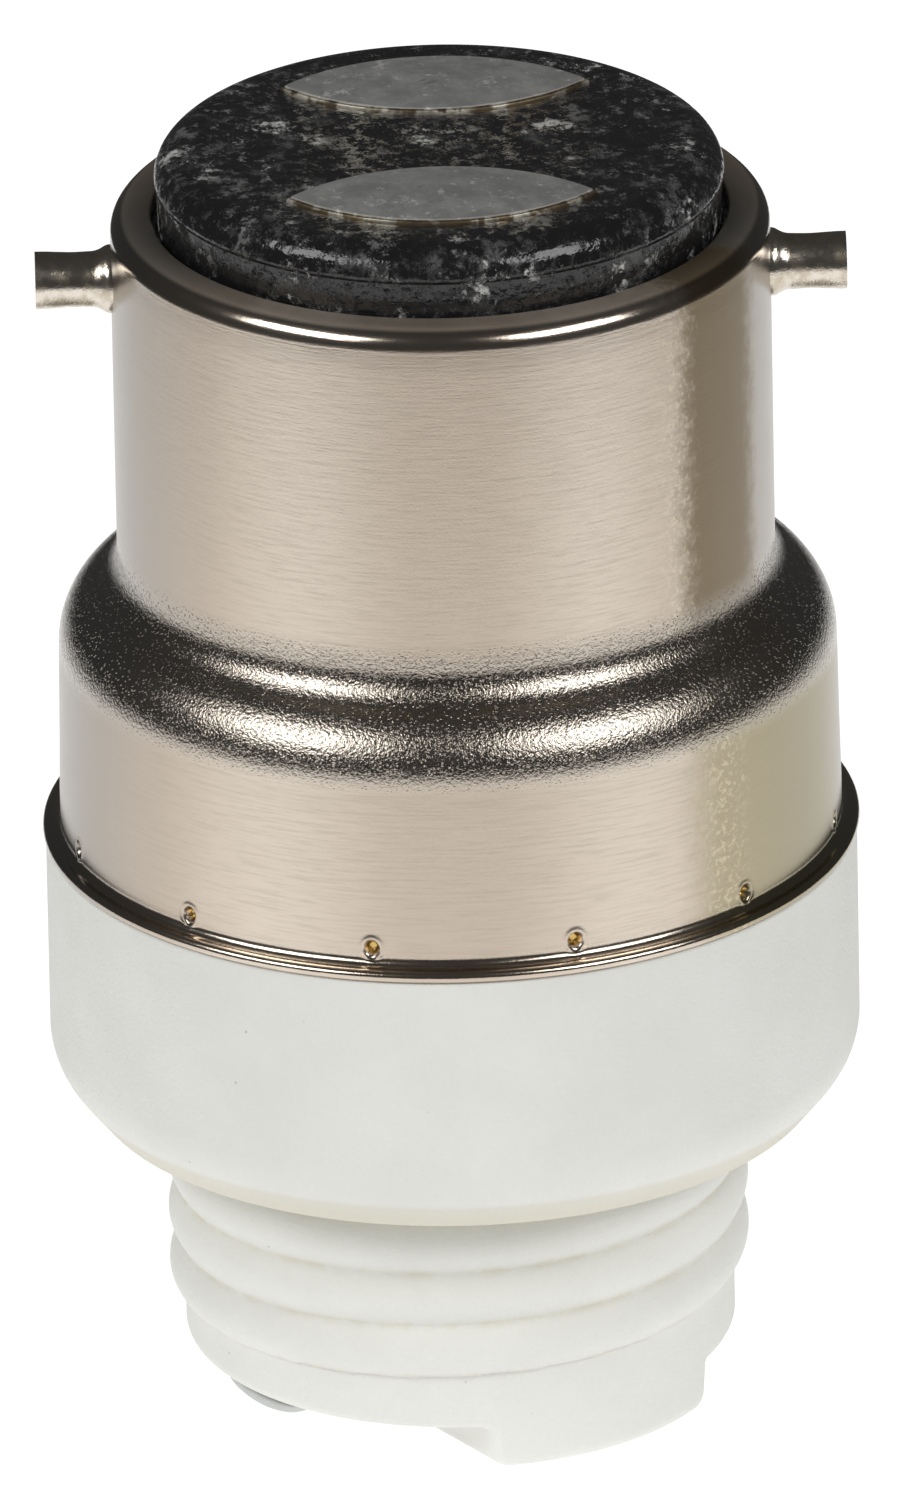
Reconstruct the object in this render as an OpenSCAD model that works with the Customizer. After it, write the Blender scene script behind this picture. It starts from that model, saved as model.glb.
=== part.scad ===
// Lamp socket converter: a bayonet cap on a white socket body for two-pin capsule lamps.
// It stands on the raised bar of the socket end, with the cap up. Millimetres.
// The lamp slot runs along X, and the cap is turned on the body by cap_turn.

/* [Cap shell] */
// Diameter of the bayonet shell
shell_d = 22.0; // [21.4:0.1:22.4]
// Straight length of the shell, from the shoulder to the top of the rim
shell_h = 12.1; // [11:0.1:13]
// How far the skirt steps out from the shell
skirt_step = 2.02; // [1.8:0.02:2.2]
// How much the skirt widens towards its lip, on each side
skirt_taper = 0.08; // [0:0.01:0.15]
// Height of the skirt between the shoulder and the flared lip
skirt_h = 5.65; // [5.2:0.05:6.4]
// Height of the flared lip
lip_h = 1.2; // [0.9:0.1:1.5]
// How far the lip flares out
lip_flare = 0.6; // [0.5:0.05:0.7]
// Thickness of the drawn brass sheet
sheet = 0.4; // [0.3:0.05:0.5]
// Radius where the shell runs out into the shoulder
shoulder_in_r = 1.37; // [1.2:0.01:1.6]
// Radius where the shoulder turns down into the skirt
shoulder_out_r = 2.44; // [2.2:0.01:2.7]
// Radius of the rim where it is rolled inwards
rim_r = 0.9; // [0.7:0.05:1.1]
// Width of the rolled rim, from the shell's outside to its opening
rim_w = 1.4; // [1.2:0.05:1.5]
// How far the cap is turned on the body, from the lamp slot to the bayonet pins
cap_turn = 56; // [0:1:90]

/* [Stake marks] */
// Number of punched marks that hold the skirt on the body
stake_n = 12; // [8:1:16]
// Width of one mark
stake_w = 0.5; // [0.4:0.05:0.7]
// Height of one mark
stake_h = 0.7; // [0.5:0.05:0.9]
// Height of the marks above the lip
stake_z = 1.75; // [1.6:0.05:2.5]
// Angle from the bayonet pins to the nearest mark
stake_turn = 18; // [0:1:29]
// How deep a mark is driven into the body
stake_depth = 0.5; // [0.3:0.05:0.8]

/* [Bayonet pins] */
// Diameter of a bayonet pin
pin_d = 1.93; // [1.8:0.01:2.1]
// How far a pin stands out from the shell
pin_proud = 2.52; // [2.3:0.02:2.7]
// Depth of the pin axis below the rim
pin_drop = 2.3; // [2.2:0.1:2.8]
// Edge radius of a pin's end
pin_edge = 0.2; // [0.1:0.05:0.3]
// How much narrower the pin is where it passes through the shell, on each side
shank_step = 0.25; // [0.2:0.01:0.3]
// How far the collar outside the shell stands out round the pin
collar_w = 0.185; // [0.17:0.005:0.25]
// Thickness of the collar outside the shell
collar_t = 0.22; // [0.15:0.01:0.3]
// How far the head inside the shell stands out round the pin
head_w = 0.535; // [0.45:0.005:0.6]
// Thickness of the head inside the shell
pin_head_t = 0.6; // [0.4:0.05:0.8]

/* [Insulator] */
// Gap between the rolled rim and the glass disc
glass_gap = 0.1; // [0.05:0.01:0.2]
// Height of the glass above the rim
glass_rise = 2.3; // [2.1:0.1:2.6]
// Edge radius of the glass top
glass_edge = 1.1; // [0.9:0.05:1.15]
// Depth of the glass below the rim
glass_depth = 5.5; // [5:0.1:6.5]
// How far the band under the parting line steps in
glass_step = 0.08; // [0.04:0.01:0.12]

/* [Cap contacts] */
// Distance from a plate to the glass's rounded edge
contact_edge = 0.2; // [0.15:0.01:0.4]
// Radius of the two arcs that bound a plate
contact_arc = 6.0; // [5.7:0.05:6.1]
// Width of a plate
contact_w = 6.0; // [5.6:0.05:6.1]
// Thickness of a plate
contact_t = 0.8; // [0.6:0.05:1]
// How far a plate stands proud of the glass
contact_rise = 0.15; // [0.1:0.01:0.2]
// Height of the solder at the crown of its dome
solder_t = 0.25; // [0.2:0.01:0.35]
// How far the solder stays back from the plate's edge
solder_inset = 0.12; // [0.05:0.01:0.3]
// Height of the solder at the tips of a plate
solder_edge_t = 0.05; // [0.03:0.01:0.1]

/* [Socket body] */
// How far the body's side lies inside the edge of the cap's lip
body_inset = 0.1; // [0:0.01:0.2]
// Height of the body from its underside to the cap's lip
body_h = 9.45; // [9:0.05:11]
// Radius where the side of the body rounds in
body_round = 2.4; // [2:0.05:2.7]
// Angle through which it rounds in
round_turn = 39; // [34:1:42]
// Height of the chamfer under the rounding
chamfer_h = 1.07; // [0.9:0.01:1.2]

/* [Threaded end] */
// Depth of the thread
thread_depth = 0.45; // [0.4:0.01:0.5]
// Pitch of the thread
pitch = 1.9; // [1.8:0.05:2]
// Number of crests
turns = 3; // [2:1:3]
// Plain height below the lowest groove, down to the recessed end
end_plain = 2.1; // [1.9:0.05:2.4]
// Height of the neck between the thread and the body
neck_h = 1.05; // [0.9:0.05:1.3]
// How much wider the thread's grooves are than the bottom end, on each side
root_step = 0.15; // [0.05:0.01:0.2]
// Edge radius of the bottom end
end_edge = 0.7; // [0.5:0.05:0.8]
// Wall of the bottom end beyond the ends of the slot
end_wall = 1.3; // [1.2:0.05:1.5]
// Wall of the raised bar beside the slot
bar_wall = 1.05; // [1:0.05:1.2]
// Height of the raised bar
bar_h = 1.5; // [1.3:0.05:1.6]

/* [Lamp slot] */
// Length of the slot beyond the lamp's pins, at each end
slot_end = 3.45; // [3.3:0.05:3.6]
// Width of the slot
slot_w = 5.5; // [5.3:0.05:5.6]
// Depth of the slot
slot_depth = 14; // [13:0.1:14.5]
// Corner radius of the slot
slot_corner = 1.4; // [1:0.1:2]
// Thickness of the slot's floor
floor_t = 2; // [1.5:0.1:2.5]
// Distance between the lamp's two pins
lamp_pitch = 9; // [8.9:0.05:9.1]
// Length of the hole for one lamp pin
lamp_hole_l = 3.2; // [3:0.1:3.6]
// Width of the hole for one lamp pin
lamp_hole_w = 2.2; // [2:0.1:2.4]
// Room between a contact's bends and the ends of its chamber
chamber_gap = 0.45; // [0.3:0.05:0.6]
// Room between a contact's edges and the sides of its chamber
chamber_side = 1.6; // [1.4:0.05:1.8]

/* [Retaining clips] */
// Width of a retaining clip
clip_w = 4.6; // [4.2:0.1:5]
// Thickness of the spring steel
clip_t = 0.34; // [0.3:0.02:0.36]
// How far the folded tab's end stays inside the bottom end's edge
clip_back = 0.7; // [0.4:0.05:1]
// Length of the fold at the tab's end
clip_fold = 4.2; // [3.5:0.1:4.6]
// How far the clip reaches up the slot
clip_leg = 10.5; // [9.5:0.1:11.5]
// How far the clip's bump stands into the slot
clip_bump = 0.24; // [0.15:0.01:0.26]
// Height of the bump along the leg
clip_bump_h = 3.4; // [2.6:0.1:4]
// Place of the bump, as a share of the leg
clip_grip = 0.6; // [0.5:0.05:0.7]

/* [Lamp contacts] */
// Thickness of the contact strip
spring_t = 0.3; // [0.25:0.01:0.35]
// Width of the contact strip
spring_w = 3; // [2.6:0.1:3.6]
// Distance between the two legs where they grip
spring_pinch = 0.7; // [0.5:0.05:0.9]
// Height of the grip above the legs' flared ends
grip_h = 1.6; // [1.2:0.1:2]
// Height of the legs' ends above the chamber's floor
spring_low = 0.4; // [0.2:0.05:0.6]
// Bend radius at the top of the strip, on its middle line
spring_bend = 0.6; // [0.5:0.05:0.7]

/* [Cover, rivets and leads] */
// How far the insulating cover lies inside the tongue's edge
cover_inset = 0.47; // [0.3:0.01:0.7]
// Room between the cover and the cap's shoulder
cover_gap = 0.55; // [0.4:0.05:0.8]
// Thickness of the cover
cover_t = 1.5; // [1.2:0.1:1.8]
// Diameter of a rivet's shank
rivet_d = 1.8; // [1.6:0.05:2]
// Diameter of a rivet's heads
rivet_head_d = 2.9; // [2.6:0.1:3.1]
// Thickness of a rivet's heads
rivet_head_t = 0.45; // [0.35:0.05:0.6]
// Diameter of a lead wire
lead_d = 0.8; // [0.6:0.05:1]
// Diameter of the sleeve on a lead
sleeve_d = 1.9; // [1.7:0.05:2.1]

/* [Fits] */
// Clearance between pieces that fit into each other
fit = 0.05; // [0.03:0.01:0.08]

/* [Hidden] */
$fn = 96;
eps = 0.01;

// Heights, from the bottom up
thread_z = bar_h + end_plain;
end_h = thread_z + turns * pitch + neck_h;
lip_z = end_h + body_h;
skirt_top_z = lip_z + lip_h + skirt_h;
cover_z = skirt_top_z - cover_gap;
tongue_z = cover_z - cover_t;
chamber_z = slot_depth + floor_t;
rivet_top = cover_z + rivet_head_t;

// Turn of the shoulder's two arcs, which meet with no straight between them
shoulder_turn = acos(1 - skirt_step / (shoulder_in_r + shoulder_out_r));
shoulder_z = skirt_top_z + (shoulder_in_r + shoulder_out_r) * sin(shoulder_turn);
rim_z = shoulder_z + shell_h;
glass_z = rim_z + glass_rise;
glass_low = rim_z - glass_depth;
plate_z = glass_z + contact_rise;
pin_z = rim_z - pin_drop;

// Radii of the cap and the glass, from the shell out and in
shell_r = shell_d / 2;
skirt_r = shell_r + skirt_step;
skirt_low_r = skirt_r + skirt_taper;
rim_hole_r = shell_r - rim_w;
glass_in_r = shell_r - sheet - fit;
glass_r = rim_hole_r - glass_gap;
plate_y = glass_r - glass_edge - contact_edge - contact_w / 2;

// Radius of the lip's arc, which runs out from the skirt to its full flare
lip_r = (lip_h * lip_h + lip_flare * lip_flare) / (2 * lip_flare);

// Radii of a bayonet pin, from the middle out
pin_r = pin_d / 2;
shank_r = pin_r - shank_step;
collar_r = pin_r + collar_w;
head_r = pin_r + head_w;

// Radii of the body, from the cap that sits on it
body_r = skirt_low_r + lip_flare - body_inset;
tongue_r = skirt_r - sheet - fit;
cover_r = tongue_r - cover_inset;

// The lamp slot, and the threaded end round it
slot_l = lamp_pitch + 2 * slot_end;
end_r = slot_l / 2 + end_wall;
root_r = end_r + root_step;
bar_w = slot_w + 2 * bar_wall;
clip_reach = end_r - clip_back;

// A contact's half width at the top, and the chamber that it stands in
spring_half = rivet_head_d / 2 + fit + spring_bend;
chamber_l = 2 * spring_half + spring_t + 2 * chamber_gap;
chamber_w = spring_w + 2 * chamber_side;

lead_sides = 10;
lead_rings = 14;
lead_straight = 1.2;
sleeve_gap = 0.3;

// Points of an arc round c, from angle a0 to a1
function arc(c, r, a0, a1, n = 8) =
    [for (i = [0:n]) c + r * [cos(a0 + (a1 - a0) * i / n), sin(a0 + (a1 - a0) * i / n)]];

// The cap's outside line from lip to rim, moved inwards by d
function cap_line(d) = concat(
    arc([skirt_low_r + lip_r, lip_z + lip_h], lip_r + d, 180 + asin(lip_h / (lip_r + d)), 180, 6),
    arc([skirt_r - shoulder_out_r, skirt_top_z], shoulder_out_r - d, 0, shoulder_turn),
    arc([shell_r + shoulder_in_r, shoulder_z], shoulder_in_r + d, 180 + shoulder_turn, 180),
    arc([shell_r - rim_r, rim_z - rim_r], rim_r - d, 0, 90),
    [[rim_hole_r, rim_z - d]]
);

// Unit normal of the line from p to q, and the mitred normal at point i of a path
function normal(p, q) = [p[1] - q[1], q[0] - p[0]] / norm(q - p);
function mitre(path, i) =
    let (
        a = normal(path[max(i - 1, 0)], path[max(i, 1)]),
        b = normal(path[min(i, len(path) - 2)], path[min(i + 1, len(path) - 1)])
    ) (a + b) / (1 + a * b);

// Outline of a bent strip of thickness t whose middle line is path
function strip(path, t) = concat(
    [for (i = [0:len(path) - 1]) path[i] + mitre(path, i) * t / 2],
    [for (i = [len(path) - 1:-1:0]) path[i] - mitre(path, i) * t / 2]
);

// A strip bent in the plane across X or across Y, with its middle at the origin
module strip_across_x(path, t, w)
    translate([-w / 2, 0, 0]) rotate([90, 0, 90]) linear_extrude(w) polygon(strip(path, t));
module strip_across_y(path, t, w)
    translate([0, w / 2, 0]) rotate([90, 0, 0]) linear_extrude(w) polygon(strip(path, t));

// A rectangle with round corners
module round_plan(l, w, r) {
    square([l - 2 * r, w], center = true);
    square([l, w - 2 * r], center = true);
    for (x = [-1, 1], y = [-1, 1]) translate([x * (l / 2 - r), y * (w / 2 - r)]) circle(r);
}

// Everything on the cap is drawn with its bayonet pins along X
module on_cap() rotate([0, 0, cap_turn]) children();
module at_pin(side) translate([0, 0, pin_z]) rotate([0, side * 90, 0]) children();
module at_stakes()
    for (i = [0:stake_n - 1])
        rotate([0, 0, stake_turn + i * 360 / stake_n]) translate([0, 0, lip_z + stake_z]) children();

// Crests and grooves of the thread, drawn as rings at its pitch
crest_arc_r = (pitch * pitch / 4 + thread_depth * thread_depth) / (2 * thread_depth);
crest_angle = asin(pitch / 2 / crest_arc_r);
function crest(i) =
    arc([root_r + thread_depth - crest_arc_r, thread_z + (i + 0.5) * pitch], crest_arc_r,
        -crest_angle, crest_angle, 8);

// Outside line of the socket body, from the bottom end up to the top of the tongue
round_c = [body_r - body_round, end_h + chamfer_h + body_round * sin(round_turn)];
underside_r = round_c[0] + body_round * cos(round_turn) - chamfer_h * tan(round_turn);
function body_line() = concat(
    [[0, 0]],
    arc([end_r - end_edge, end_edge], end_edge, -90, 0, 6),
    [for (i = [0:turns - 1]) each crest(i)],
    [[root_r, end_h], [underside_r, end_h]],
    arc(round_c, body_round, -round_turn, 0, 8),
    [[body_r, lip_z], [tongue_r, lip_z], [tongue_r, tongue_z], [0, tongue_z]]
);

// One side segment of the bottom end, cut back to leave the raised bar
module end_segment(side)
    translate([-body_r, side > 0 ? bar_w / 2 : -body_r - bar_w / 2, -eps])
        cube([2 * body_r, body_r, bar_h + eps]);

module clip_notch()
    translate([-clip_w / 2 - 2 * fit, -bar_w / 2 - eps, -eps])
        cube([clip_w + 4 * fit, bar_w + 2 * eps, bar_h + 2 * fit + eps]);

module lamp_slot() translate([0, 0, -eps])
    linear_extrude(slot_depth + eps) round_plan(slot_l, slot_w, slot_corner);

module contact_chamber(side) translate([side * lamp_pitch / 2, 0, 0]) {
    translate([0, 0, slot_depth - eps]) linear_extrude(floor_t + 2 * eps)
        square([lamp_hole_l, lamp_hole_w], center = true);
    translate([0, 0, chamber_z]) linear_extrude(tongue_z - chamber_z + eps)
        square([chamber_l, chamber_w], center = true);
}

module socket_body() color([0.88, 0.88, 0.86]) difference() {
    rotate_extrude() polygon(body_line());
    for (side = [-1, 1]) {
        end_segment(side);
        contact_chamber(side);
    }
    clip_notch();
    lamp_slot();
    on_cap() at_stakes()
        translate([tongue_r - stake_depth, -stake_w / 2, -stake_h / 2]) cube([1, stake_w, stake_h]);
}

module cap_shell() color([0.74, 0.69, 0.63]) on_cap() difference() {
    rotate_extrude() polygon(concat(
        cap_line(0),
        [for (i = [len(cap_line(sheet)) - 1:-1:0]) cap_line(sheet)[i]]
    ));
    for (side = [-1, 1]) at_pin(side) cylinder(r = shank_r + fit, h = skirt_r);
    at_stakes() translate([tongue_r - sheet, -stake_w / 2, -stake_h / 2])
        cube([4 * sheet, stake_w, stake_h]);
}

// A turned pin with a head inside the shell, a collar outside it and a rounded end
module bayonet_pin(side) {
    head_out = sqrt(pow(shell_r - sheet, 2) - pow(head_r, 2)) - fit;
    tip = shell_r + pin_proud;
    color([0.78, 0.73, 0.66]) on_cap() at_pin(side) rotate_extrude() polygon(concat(
        [[0, head_out - pin_head_t], [head_r, head_out - pin_head_t], [head_r, head_out],
         [shank_r, head_out], [shank_r, shell_r], [collar_r, shell_r],
         [collar_r, shell_r + collar_t / 2], [pin_r, shell_r + collar_t]],
        arc([pin_r - pin_edge, tip - pin_edge], pin_edge, 0, 90, 5),
        [[0, tip]]
    ));
}

module lens(inset = 0) intersection_for (s = [-1, 1])
    translate([0, s * (contact_arc - contact_w / 2)]) circle(contact_arc - inset);

// Radius of the solder's dome, from its height at the crown and at the tips
dome_h = solder_t - solder_edge_t;
dome_r = (contact_arc * contact_arc + dome_h * dome_h) / (2 * dome_h);

module at_plate(side) translate([0, side * plate_y, 0]) children();

module insulator() color([0.07, 0.07, 0.08]) on_cap() difference() {
    rotate_extrude() polygon(concat(
        [[0, glass_low], [glass_in_r, glass_low]],
        arc([shell_r - rim_r, rim_z - rim_r], rim_r - sheet - fit, 0, 90),
        [[glass_r - glass_step, rim_z - sheet - fit],
         [glass_r - glass_step, glass_z - glass_edge],
         [glass_r, glass_z - glass_edge]],
        arc([glass_r - glass_edge, glass_z - glass_edge], glass_edge, 0, 90),
        [[0, glass_z]]
    ));
    for (side = [-1, 1]) {
        at_pin(side) translate([0, 0, shell_r - sheet - 2 * pin_head_t - 2 * fit])
            cylinder(r = head_r + fit, h = skirt_r);
        at_plate(side) {
            translate([0, 0, plate_z - contact_t - fit])
                linear_extrude(contact_t + 1) lens(-fit);
            translate([0, 0, glass_low - eps])
                cylinder(d = lead_d + 4 * fit, h = plate_z - glass_low);
        }
    }
}

module contact_plate(side) color([0.72, 0.60, 0.36]) on_cap() at_plate(side) difference() {
    translate([0, 0, plate_z - contact_t]) linear_extrude(contact_t) lens();
    translate([0, 0, plate_z - contact_t - eps]) cylinder(d = lead_d + 2 * fit, h = contact_t + 2 * eps);
}

module contact_solder(side) color([0.52, 0.52, 0.53]) on_cap() at_plate(side) intersection() {
    translate([0, 0, plate_z]) linear_extrude(solder_t + eps) lens(solder_inset);
    rotate_extrude() polygon(concat(
        [[0, plate_z], [contact_arc, plate_z]],
        arc([0, plate_z + solder_t - dome_r], dome_r, 90 - asin(contact_arc / dome_r), 90)
    ));
}

// A spring leg in the slot, bumped to grip the lamp's base, and a tab folded double
// under the end of the body
module retaining_clip(side) {
    tab_z = bar_h - fit - clip_t / 2;
    leg_y = slot_w / 2 - fit - clip_t / 2;
    bend = clip_t;
    grip_z = clip_leg * clip_grip;
    fold_r = clip_t / 2 + fit;
    path = concat(
        [[-leg_y, clip_leg], [-leg_y, grip_z + clip_bump_h / 2], [clip_bump - leg_y, grip_z],
         [-leg_y, grip_z - clip_bump_h / 2]],
        arc([-leg_y - bend, tab_z + bend], bend, 0, -90, 5),
        arc([clip_t / 2 + fold_r - clip_reach, tab_z - fold_r], fold_r, 90, 270, 6),
        [[clip_fold - clip_reach, tab_z - 2 * fold_r]]
    );
    color([0.68, 0.69, 0.68]) rotate([0, 0, side > 0 ? 180 : 0])
        strip_across_x(path, clip_t, clip_w);
}

// A strip bent to a U with its legs drawn together to grip one lamp pin
module lamp_contact(side) {
    top = tongue_z - spring_t / 2;
    grip = (spring_pinch + spring_t) / 2;
    low = chamber_z + spring_low;
    leg = [[spring_half, top - spring_bend - 1], [grip, low + grip_h], [(spring_half + grip) / 2, low]];
    turn = arc([spring_half - spring_bend, top - spring_bend], spring_bend, 90, 0, 5);
    right = concat(turn, leg);
    left = [for (i = [len(right) - 1:-1:0]) [-right[i][0], right[i][1]]];
    color([0.80, 0.66, 0.42]) translate([side * lamp_pitch / 2, 0, 0]) difference() {
        strip_across_y(concat(left, right), spring_t, spring_w);
        translate([0, 0, tongue_z - 2 * spring_t]) cylinder(d = rivet_d + 2 * fit, h = 4 * spring_t);
    }
}

module rear_cover() color([0.80, 0.76, 0.66]) difference() {
    translate([0, 0, tongue_z]) cylinder(r = cover_r, h = cover_t);
    for (side = [-1, 1]) translate([side * lamp_pitch / 2, 0, tongue_z - eps])
        cylinder(d = rivet_d + 2 * fit, h = cover_t + 2 * eps);
}

// A rivet that holds one lamp contact under the cover and takes its lead on top
module contact_rivet(side) color([0.78, 0.64, 0.38]) translate([side * lamp_pitch / 2, 0, 0]) {
    low = tongue_z - spring_t - rivet_head_t;
    translate([0, 0, low]) cylinder(d = rivet_d, h = rivet_top - low);
    translate([0, 0, low]) cylinder(d1 = rivet_d, d2 = rivet_head_d, h = rivet_head_t);
    translate([0, 0, cover_z]) cylinder(d1 = rivet_head_d, d2 = rivet_d, h = rivet_head_t);
}

// Route of a lead from its rivet up into the glass, as rings in level planes
function ease(t) = t * t * (3 - 2 * t);
function plate_xy(side) = side * plate_y * [-sin(cap_turn), cos(cap_turn)];
function lead_route(side, z0, z1) =
    let (a = [-side * lamp_pitch / 2, 0], b = plate_xy(side),
         from = rivet_top + lead_straight, to = glass_low - lead_straight)
    concat(
        [for (i = [0:lead_rings])
            let (z = z0 + (min(z1, to) - z0) * i / lead_rings,
                 t = ease(min(max((z - from) / (to - from), 0), 1)),
                 p = a + (b - a) * t)
            [p[0], p[1], z]],
        [[b[0], b[1], z1]]
    );

// A tube of radius r round a route, with a bore where r_in is above zero
module tube(route, r, r_in = 0) {
    n = lead_sides;
    m = len(route);
    function ring(radius) = [for (p = route, j = [0:n - 1])
        p + radius * [cos(360 * j / n), sin(360 * j / n), 0]];
    function walls(k, flip) = [for (i = [0:m - 2], j = [0:n - 1])
        let (a = k + i * n + j, b = k + i * n + (j + 1) % n)
        flip ? [a, b, b + n, a + n] : [a, a + n, b + n, b]];
    ends = r_in > 0
        ? [for (j = [0:n - 1]) each [
            [j, (j + 1) % n, m * n + (j + 1) % n, m * n + j],
            [(m - 1) * n + (j + 1) % n, (m - 1) * n + j,
             (2 * m - 1) * n + j, (2 * m - 1) * n + (j + 1) % n]]]
        : [[for (j = [0:n - 1]) j], [for (j = [n - 1:-1:0]) (m - 1) * n + j]];
    polyhedron(
        points = r_in > 0 ? concat(ring(r), ring(r_in)) : ring(r),
        faces = concat(walls(0, false), r_in > 0 ? walls(m * n, true) : [], ends)
    );
}

module lead_wire(side) color([0.80, 0.50, 0.30])
    tube(lead_route(side, rivet_top, plate_z), lead_d / 2);

module lead_sleeve(side) color([0.86, 0.84, 0.78])
    tube(lead_route(side, rivet_top + sleeve_gap, glass_low - sleeve_gap),
         sleeve_d / 2, (lead_d / 2 + fit) / cos(180 / lead_sides));

socket_body();
cap_shell();
bayonet_pin(-1);  // bayonet_pin_left
bayonet_pin(1);  // bayonet_pin_right
insulator();
contact_plate(-1);  // contact_plate_front
contact_plate(1);  // contact_plate_rear
contact_solder(-1);  // contact_solder_front
contact_solder(1);  // contact_solder_rear
retaining_clip(-1);  // retaining_clip_front
retaining_clip(1);  // retaining_clip_rear
lamp_contact(-1);  // lamp_contact_left
lamp_contact(1);  // lamp_contact_right
rear_cover();
contact_rivet(-1);  // contact_rivet_left
contact_rivet(1);  // contact_rivet_right
lead_wire(-1);  // lead_wire_front
lead_wire(1);  // lead_wire_rear
lead_sleeve(-1);  // lead_sleeve_front
lead_sleeve(1);  // lead_sleeve_rear
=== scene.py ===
"""Looks of a lamp socket converter: a nickel plated bayonet cap staked on a white socket body.

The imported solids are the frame. The pieces that show get a skin of their own, with the true
thread, the punched marks and the finishes, and the pieces inside keep their solids.
Lengths are written in millimetres and go into the meshes in metres.
"""

import math

import bpy
import numpy as np
from mathutils import Matrix, Vector


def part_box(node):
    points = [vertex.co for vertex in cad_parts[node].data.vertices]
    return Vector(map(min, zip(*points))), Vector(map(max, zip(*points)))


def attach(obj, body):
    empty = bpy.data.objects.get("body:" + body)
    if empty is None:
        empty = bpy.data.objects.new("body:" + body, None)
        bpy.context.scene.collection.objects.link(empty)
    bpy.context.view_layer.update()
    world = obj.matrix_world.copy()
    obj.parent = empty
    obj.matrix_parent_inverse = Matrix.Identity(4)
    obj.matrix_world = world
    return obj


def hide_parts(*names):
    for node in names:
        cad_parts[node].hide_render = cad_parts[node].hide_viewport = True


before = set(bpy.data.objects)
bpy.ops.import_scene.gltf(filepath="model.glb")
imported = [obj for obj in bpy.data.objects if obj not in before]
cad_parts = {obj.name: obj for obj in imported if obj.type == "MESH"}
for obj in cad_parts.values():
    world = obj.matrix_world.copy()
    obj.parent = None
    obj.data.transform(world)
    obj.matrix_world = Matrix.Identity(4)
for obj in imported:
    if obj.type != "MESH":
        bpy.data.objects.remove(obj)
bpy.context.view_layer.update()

# Socket body
# One piece of white steatite, pressed in a die and fired without a glaze: a round body, a
# threaded end for a shade ring, and a raised bar across that end round the lamp slot.
MM = 0.001
FRONT = math.radians(-35)
body_r, tongue_top = (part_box("socket_body")[1][k] / MM for k in (0, 2))
lip_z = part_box("cap_shell")[0][2] / MM
underside_z = 10.35
bar_half = 4.15
bar_h = 1.5
bar_edge = 0.35
bar_lean = 0.08
slot_l, slot_w, slot_corner, slot_top = 15.9, 5.5, 1.4, 14.0
slot_lip = 0.25
end_r, end_edge = 9.25, 0.5
root_r = 9.4
pitch, turns, thread_z, thread_depth = 1.9, 3, 3.6, 0.45
thread_low, thread_high = 2.5, 10.1
groove_soft = 0.1
run_out = 0.16
body_round, round_turn, chamfer_h = 2.4, math.radians(39), 1.07
tongue_r = 12.57


def spread(count, places=(), width=0.1, extra=0.0):
    """Angles round a full turn, closer together near the places.

    Their density is one plus a bell of height extra and that width at each place, and the
    angles are where its running total reaches equal steps.
    """
    fine = np.linspace(-np.pi, np.pi, 20001)
    away = (fine[:, None] - np.asarray(places, float)[None] + np.pi) % (2 * np.pi) - np.pi
    total = np.cumsum(1 + extra * np.exp(-((away / width) ** 2)).sum(1))
    steps = total[0] + np.arange(count) / count * (total[-1] - total[0])
    return np.interp(steps, total, fine)


def rounded(points, radii, steps=5):
    """A profile with its corners eased.

    Each corner with a radius is cut back by it on both sides, and the cut is bridged by the
    parabola that touches both sides there.
    """
    points = np.asarray(points, float)
    t = np.linspace(0, 1, steps + 1)[:, None]
    line = [points[:1]]
    for before, corner, after, radius in zip(points, points[1:], points[2:], radii):
        start = corner + (before - corner) / np.linalg.norm(before - corner) * radius
        end = corner + (after - corner) / np.linalg.norm(after - corner) * radius
        bend = (1 - t) ** 2 * start + 2 * t * (1 - t) * corner + t**2 * end
        line.append(bend if radius > 0 else corner[None])
    line.append(points[-1:])
    return np.concatenate(line)


def arc(centre, radius, first, last, steps=10):
    """Points of a circle round centre, from the first angle to the last, in radians."""
    a = np.linspace(first, last, steps + 1)
    return np.stack([centre[0] + radius * np.cos(a), centre[1] + radius * np.sin(a)], 1)


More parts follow.
